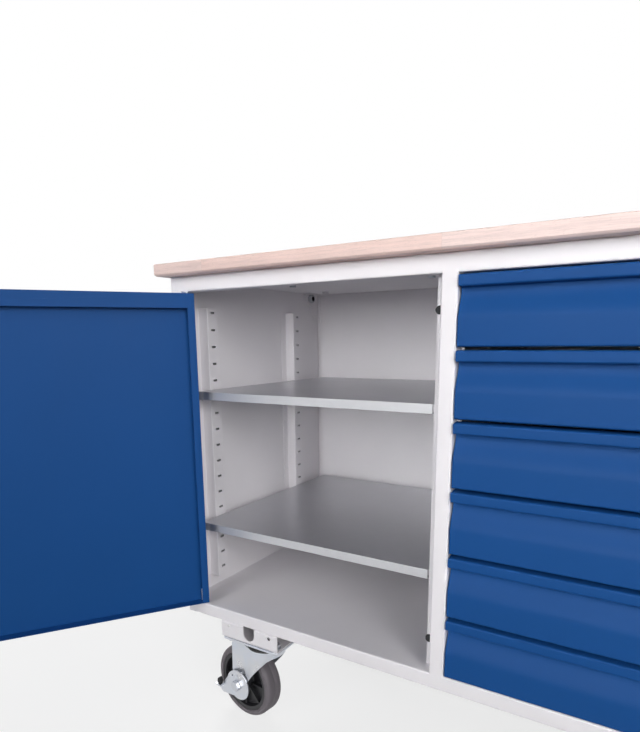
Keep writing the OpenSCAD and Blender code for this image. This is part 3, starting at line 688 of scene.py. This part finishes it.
class BenchStage(bpy.types.PropertyGroup):
    """Camera and light."""

    eye: FloatVectorProperty(
        name="Eye",
        description="Camera position",
        default=(0.38215, -0.84809, 0.76712),
        size=3,
        unit="LENGTH",
    )
    yaw: FloatProperty(name="Yaw", description="Turn to the left", default=0.5602, unit="ROTATION")
    pitch: FloatProperty(name="Pitch", description="Tilt down", default=0.1981, unit="ROTATION")
    roll: FloatProperty(name="Roll", description="Roll", default=0.0103, unit="ROTATION")
    lens: FloatProperty(name="Lens", description="Focal length in millimetres", default=27.859)
    key: FloatProperty(name="Key", description="Power of the key lamp", default=7.8, unit="POWER")
    fill: FloatProperty(name="Fill", description="Power of the fill", default=54.0, unit="POWER")
    high: FloatProperty(
        name="High", description="Power of the high lamp", default=6.0, unit="POWER"
    )
    behind: FloatProperty(
        name="Behind", description="Power of the lamp behind the bench", default=46.0, unit="POWER"
    )
    sky: FloatProperty(name="Sky", description="Strength of the soft light round it", default=0.03)


# Operators


class BenchOperator:
    """What the bench's operators share."""

    bl_options = {"REGISTER", "UNDO"}

    def execute(self, context):
        self.build(context.scene)
        return {"FINISHED"}


class BENCH_OT_carcass(BenchOperator, bpy.types.Operator):
    """Dress the folded panels, posts and gussets of the carcass"""

    bl_idname = "bench.carcass"
    bl_label = "Carcass"

    def build(self, scene):
        ease = scene.bench_sheet.ease
        panels = ["left_side", "right_side", "centre_post", "centre_partition"]
        for node in [*panels, "back_panel", "corner_gussets"]:
            dressed(node, ease)
        foot, head = (corner.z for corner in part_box("centre_post"))
        dressed("floor_panel", ease, welds=self.welds("floor_panel", foot, foot))
        dressed("top_panel", ease, welds=self.welds("top_panel", head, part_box("top_panel")[1].z))

    @staticmethod
    def welds(node, post_end, rail_top):
        """Where a front rail is welded to both side posts, and to the middle post at its end."""
        low, left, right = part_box(node)[0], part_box("left_side"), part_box("right_side")
        front, post_right = left[0].y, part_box("centre_post")[1].x
        near, deep = front - 0.02 * MM, front + 1.2 * MM  # just proud of the sheet, and in it
        upright_half, upright_gap = 4 * MM, 2 * MM
        level_half, level_start, level_end = 3 * MM, 27 * MM, 5 * MM
        found = []
        for seam in (left[1].x, right[0].x):
            corner = (seam - upright_half, near, low.z + upright_gap)
            found.append((corner, (seam + upright_half, deep, rail_top - upright_gap)))
        corner = (post_right - level_start, near, post_end - level_half)
        found.append((corner, (post_right - level_end, deep, post_end + level_half)))
        return found


class BENCH_OT_worktop(BenchOperator, bpy.types.Operator):
    """Dress the laminated beech worktop"""

    bl_idname = "bench.worktop"
    bl_label = "Worktop"

    def build(self, scene):
        dressed("worktop", scene.bench_worktop.edge, steps=3)


class BENCH_OT_shelving(BenchOperator, bpy.types.Operator):
    """Dress the shelf strips, shelves and clips"""

    bl_idname = "bench.shelving"
    bl_label = "Shelving"

    def build(self, scene):
        ease = scene.bench_sheet.ease
        dressed("shelf_strips", ease * THIN_SHARE, steps=1, dark=self.slot_rim())
        dressed("shelf_clips", ease * THIN_SHARE, steps=1)
        for node in ("shelf_upper", "shelf_lower"):
            dressed(node, ease)
        dressed("drawer_rails", ease * RAIL_SHARE, steps=1)

    @staticmethod
    def slot_rim():
        """The cut rims of the strips' slots on the left wall, which get painted shade for the shadow in the slots.
        """
        low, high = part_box("shelf_strips")
        inset, half_width, ends = 32 * MM, 5.4 * MM, 4 * MM
        web, half_sheet = low.x + 22.9 * MM, 0.4 * MM

        def rim(spot):
            beside = min(abs(spot.y - low.y - inset), abs(spot.y - high.y + inset))
            inside = low.z + ends < spot.z < high.z - ends
            return inside and beside < half_width and abs(spot.x - web) < half_sheet

        return rim


class BENCH_OT_door(BenchOperator, bpy.types.Operator):
    """Dress the door, its pins, lock and buffers"""

    bl_idname = "bench.door"
    bl_label = "Door"

    def build(self, scene):
        dressed("door_shell", scene.bench_sheet.door_ease)
        dressed("hinge_pins", SMALL_EASE)
        dressed("lock_housing", FINE_EASE)
        dressed("lock_knob", PLAIN_EASE)
        dressed("lock_cam", FINE_EASE)
        dressed("door_buffers", RUBBER_EASE, steps=3)


class BENCH_OT_drawers(BenchOperator, bpy.types.Operator):
    """Dress the rolled drawer fronts and the drawer boxes"""

    bl_idname = "bench.drawers"
    bl_label = "Drawers"

    def build(self, scene):
        ease = scene.bench_sheet.ease
        for k in DRAWERS:
            dressed(f"drawer_{k}_front", ease)
            dressed(f"drawer_{k}_box", ease * THIN_SHARE, steps=1)


class BENCH_OT_castors(BenchOperator, bpy.types.Operator):
    """Dress the castor brackets, forks, plates and brakes"""

    bl_idname = "bench.castors"
    bl_label = "Castors"

    def build(self, scene):
        for end in ENDS:
            for side in ("left", "right"):
                rim = self.bare_hole(end, side)
                dressed(f"bracket_{end}_{side}", PLAIN_EASE, dark=rim)
            self.swivel_head(end)
            dressed(f"fixed_fork_{end}", PLAIN_EASE)
            dressed(f"brake_lever_{end}", PLAIN_EASE)
            dressed(f"brake_pad_{end}", PAD_EASE, steps=3)

    @staticmethod
    def bare_hole(end, side):
        """The rim of a bracket's inner hole, which has no screw, with painted shade for the shadow inside the
        bracket.
        """
        low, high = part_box(f"bracket_{end}_{side}")
        across, below, reach = 48.5 * MM, 8 * MM, 3.6 * MM
        rim_start, rim_end = 0.1 * MM, 2.4 * MM
        inner = (low.x + high.x) / 2 + (across if side == "left" else -across)
        front = low.y if end == "front" else high.y
        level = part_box("left_side")[0].z - below

        def hole(spot):
            inside = abs(spot.x - inner) < reach and abs(spot.z - level) < reach
            return inside and rim_start < abs(spot.y - front) < rim_end

        return hole

    @staticmethod
    def swivel_head(end):
        """The plate and the fork, with painted shade on the race under the plate and on the fork's neck, for the
        shadowed gap between them.
        """
        low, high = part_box(f"swivel_plate_{end}")
        pin = Vector(((low.x + high.x) / 2, (low.y + high.y) / 2, high.z))
        race_top, neck_foot, neck_radius = pin.z - 4.1 * MM, pin.z - 24.6 * MM, 39 * MM

        def race(spot):
            return spot.z < race_top

        def neck(spot):
            return (spot - pin).xy.length < neck_radius and spot.z > neck_foot

        dressed(f"swivel_plate_{end}", SMALL_EASE, dark=race)
        dressed(f"swivel_fork_{end}", PLAIN_EASE, dark=neck)


class BENCH_OT_wheels(BenchOperator, bpy.types.Operator):
    """Turn the tyres and rims, with ribs moulded round each rim"""

    bl_idname = "bench.wheels"
    bl_label = "Wheels"

    # Outlines from the middle to the tread, as (radius, place along the axle) in millimetres
    tyre_side = [(62.05, -18.8), (62.5, -19.6), (63.4, -19.9)]
    tyre_side += [(64.8, -19.9), (65.3, -19.4), (66.2, -19.5)]
    tread = [(75.0, -0.7), (74.75, -0.25)]
    hub_side = [(8.05, -24), (14.6, -24), (15.6, -23.3), (17, -21), (18, -7.5), (19.5, -6)]
    rim_side = [(50, -6), (52, -7.5), (54.2, -17), (55.4, -18), (61.4, -18), (62, -17.4)]
    tyre_steps, rim_steps = 128, 96

    def build(self, scene):
        ribs = round_tree("Rim ribs", rib)
        tyre = self.whole([*self.tyre_side, *self.shoulder(), *self.tread])
        rim = self.whole([*self.hub_side, *self.rim_side])
        for end in ENDS:
            for kind, joint in (("swivel", "castor"), ("fixed", "fixed")):
                centre, axis = joint_place(f"{joint}_{end}_roll")
                wheel = f"{kind}_tyre_{end}"
                mesh = turned(wheel + "_turned", tyre, centre, axis, self.tyre_steps)
                settle(linked(wheel + "_turned", mesh), wheel)
                node = f"{kind}_rim_{end}"
                web = turned(node + "_web", rim, centre, axis, self.rim_steps)
                web.materials.append(finish("black_plastic"))
                sizes = {"count": scene.bench_wheels.ribs, "ring_radius": 35 * MM}
                sizes |= {"width": 36 * MM, "thickness": 3.2 * MM, "depth": 27 * MM}
                spokes = ringed(node + "_ribs", ribs, "black_plastic", centre, axis, **sizes)
                settle(joined(node + "_moulded", web, spokes), node)

    @staticmethod
    def shoulder():
        """The tyre's round from its side to its tread."""
        middle_radius, middle_place, bend = 66, -11, 9
        turns = [radians(degrees) for degrees in range(-75, 1, 15)]
        return [(middle_radius + bend * cos(t), middle_place + bend * sin(t)) for t in turns]

    @staticmethod
    def whole(outline):
        """One side's outline and its mirror image."""
        return outline + [(radius, -place) for radius, place in reversed(outline)]


class BENCH_OT_fixings(BenchOperator, bpy.types.Operator):
    """Set chamfered bolts, nuts and screws, and the wheels' axles"""

    bl_idname = "bench.fixings"
    bl_label = "Fixings"

    def build(self, scene):
        self.castor_bolts()
        dressed("gusset_bolts", SMALL_EASE, dark=self.bore())
        for node in ("worktop_screws", "fixed_axles"):
            dressed(node, SMALL_EASE)
        for end in ENDS:
            dressed(f"swivel_axle_{end}", SMALL_EASE)

    @staticmethod
    def castor_bolts():
        """Four bolts at each castor, nuts on the bracket and heads under the castor's plate."""
        bolt_across, bolt_along, bracket_sheet, plate_sheet = 52.5, 40, 2.5, 4
        flats, nut_height, head_height = 16, 7.5, 6.4
        up, down = Vector((0, 0, 1)), Vector((0, 0, -1))
        nut = hex_fixing("nut_on_stud", stud=0.4)
        head = hex_fixing("bolt_head")
        above, below = [], []
        for end in ENDS:
            for plate in (f"swivel_plate_{end}", f"fixed_fork_{end}"):
                low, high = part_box(plate)
                mid = (low + high) / 2
                for sx in (-bolt_across, bolt_across):
                    for sy in (-bolt_along, bolt_along):
                        spot = Vector((mid.x + sx * MM, mid.y + sy * MM, high.z))
                        above.append((spot + up * bracket_sheet * MM, up))
                        below.append((spot + down * plate_sheet * MM, down))
        bolts = joined(
            "castor_bolts_set",
            set_fixings("nuts", nut, above, flats, nut_height),
            set_fixings("heads", head, below, flats, head_height),
        )
        settle(bolts, "castor_bolts")
        for template in (nut, head):
            bpy.data.objects.remove(template)

    @staticmethod
    def bore():
        """The open bores at both ends of the gusset bolts, with painted shade for the shadow deep inside them."""
        low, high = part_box("gusset_bolts")
        radius, depth = 6 * MM, 11.5 * MM

        def inside(spot):
            across = Vector((spot.y - (low.y + high.y) / 2, spot.z - (low.z + high.z) / 2))
            return across.length < radius and min(spot.x - low.x, high.x - spot.x) < depth

        return inside


class BENCH_OT_stage(BenchOperator, bpy.types.Operator):
    """Set the floor, the light and the camera"""

    bl_idname = "bench.stage"
    bl_label = "Stage"

    def build(self, scene):
        stage = scene.bench_stage
        self.floor()
        self.light(scene, stage)
        self.camera(scene, stage)

    @staticmethod
    def seen(web):
        """1 for rays that show the background: straight, glossy or through glass."""
        path = web.node("ShaderNodeLightPath", output="Is Camera Ray")
        glossy, through = path.out("Is Glossy Ray"), path.out("Is Transmission Ray")
        most = web.node("ShaderNodeMath", {"operation": "MAXIMUM"}, {0: path, 1: glossy})
        return web.node("ShaderNodeMath", {"operation": "MAXIMUM"}, {0: most, 1: through})

    def floor(self):
        """A plain pale floor that fades into white away from the bench."""
        half, fade_start, fade_end, white_near = 20.0, 0.6, 1.9, 0.73
        mesh = bpy.data.meshes.new("floor")
        corners = [(-half, -half, 0), (half, -half, 0), (half, half, 0), (-half, half, 0)]
        mesh.from_pydata(corners, [], [(0, 1, 2, 3)])
        floor = linked("floor", mesh)
        pale = Finish("pale_floor")
        length = {"operation": "LENGTH"}
        reach = pale.node("ShaderNodeVectorMath", length, {0: pale.place}, "Value")
        fade = pale.node(
            "ShaderNodeMapRange",
            {"interpolation_type": "SMOOTHSTEP"},
            {"Value": reach, "From Min": fade_start, "From Max": fade_end},
        )
        shown = self.seen(pale)
        colour = pale.mix(shown, (0.18, 0.18, 0.185), (0.86, 0.86, 0.865))
        near = pale.node("ShaderNodeBsdfDiffuse", None, {"Color": colour})
        far = pale.node("ShaderNodeEmission", None, {"Color": (1, 1, 1), "Strength": 1.0})
        share = (fade * (1.0 - white_near) + white_near) * shown
        both = pale.node("ShaderNodeMixShader", None, {0: share, 1: near, 2: far})
        pale.node("ShaderNodeOutputMaterial", None, {"Surface": both})
        mesh.materials.append(pale.material)

    def light(self, scene, stage):
        """A far key, a fill on the right, a high lamp, one behind, and faint soft light."""
        world = bpy.data.worlds.new("studio")
        scene.world = world
        world.use_nodes = True
        world.node_tree.nodes.clear()
        sky = Web(world.node_tree)
        soft = sky.node(
            "ShaderNodeBackground", None, {"Color": (0.99, 0.99, 1.0), "Strength": stage.sky}
        )
        white = sky.node("ShaderNodeBackground", None, {"Color": (1, 1, 1), "Strength": 1.0})
        both = sky.node("ShaderNodeMixShader", None, {0: self.seen(sky), 1: soft, 2: white})
        sky.node("ShaderNodeOutputWorld", None, {"Surface": both})
        aimed_over = (0.1, 0.1)
        # Name, place, size, power, spread in degrees, and the height it is aimed at
        lamps = [
            ("key", (0.7, -6.0, 1.6), 1.8, stage.key, 36, 1.2),
            ("fill", (2.3, -1.9, 1.5), 1.5, stage.fill, 180, 0.5),
            ("high", (-0.9, -3.9, 2.3), 1.4, stage.high, 60, 0.4),
            ("behind", (-2.0, 1.9, 2.1), 1.6, stage.behind, 180, 0.5),
        ]
        for name, place, size, power, spread, aimed in lamps:
            lamp = bpy.data.lights.new(name, "AREA")
            lamp.shape, lamp.size, lamp.energy = "SQUARE", size, power
            holder = bpy.data.objects.new(name, lamp)
            scene.collection.objects.link(holder)
            holder.location = place
            lamp.spread = radians(spread)
            aim = Vector((*aimed_over, aimed)) - Vector(place)
            holder.rotation_mode = "QUATERNION"
            holder.rotation_quaternion = aim.to_track_quat("-Z", "Y")
        scene.view_settings.view_transform = "Standard"

    def camera(self, scene, stage):
        """The camera of the photograph."""
        yaw, pitch, roll = stage.yaw, stage.pitch, stage.roll
        ahead = Vector((-sin(yaw) * cos(pitch), cos(yaw) * cos(pitch), -sin(pitch)))
        level = Vector((cos(yaw), sin(yaw), 0))
        down = ahead.cross(level)
        right = level * cos(roll) + down * sin(roll)
        under = down * cos(roll) - level * sin(roll)
        turn = Matrix((right, -under, -ahead)).transposed().to_4x4()
        lens = bpy.data.cameras.new("camera")
        lens.lens, lens.sensor_width = stage.lens, 36.0
        lens.shift_x, lens.shift_y = LENS_SHIFT
        lens.clip_start, lens.clip_end = 0.02, 60.0
        camera = bpy.data.objects.new("camera", lens)
        scene.collection.objects.link(camera)
        camera.matrix_world = Matrix.Translation(Vector(stage.eye)) @ turn
        scene.camera = camera


class BENCH_PT_panel(bpy.types.Panel):
    """Lists the bench's pieces"""

    bl_idname = "BENCH_PT_panel"
    bl_label = "Workbench"
    bl_space_type = "VIEW_3D"
    bl_region_type = "UI"
    bl_category = "Workbench"

    def draw(self, context):
        for name in STEPS:
            self.layout.operator("bench." + name)
        for group in GROUPS:
            box = self.layout.box()
            settings = getattr(context.scene, group)
            for label in type(settings).__annotations__:
                box.prop(settings, label)


STEPS = ["stage", "carcass", "worktop", "shelving", "door"]
STEPS += ["drawers", "castors", "wheels", "fixings"]
GROUPS = {
    "bench_colours": BenchColours,
    "bench_sheet": BenchSheet,
    "bench_worktop": BenchWorktop,
    "bench_wheels": BenchWheels,
    "bench_stage": BenchStage,
}
CLASSES = [
    *GROUPS.values(),
    BENCH_OT_stage,
    BENCH_OT_carcass,
    BENCH_OT_worktop,
    BENCH_OT_shelving,
    BENCH_OT_door,
    BENCH_OT_drawers,
    BENCH_OT_castors,
    BENCH_OT_wheels,
    BENCH_OT_fixings,
    BENCH_PT_panel,
]


def register():
    for kind in CLASSES:
        bpy.utils.register_class(kind)
    for name, kind in GROUPS.items():
        setattr(bpy.types.Scene, name, PointerProperty(type=kind))


def unregister():
    for name in GROUPS:
        delattr(bpy.types.Scene, name)
    for kind in reversed(CLASSES):
        bpy.utils.unregister_class(kind)


def main():
    """Build every piece in order."""
    register()
    for name in STEPS:
        getattr(bpy.ops.bench, name)()
    bpy.context.view_layer.update()


if __name__ == "__main__":
    main()
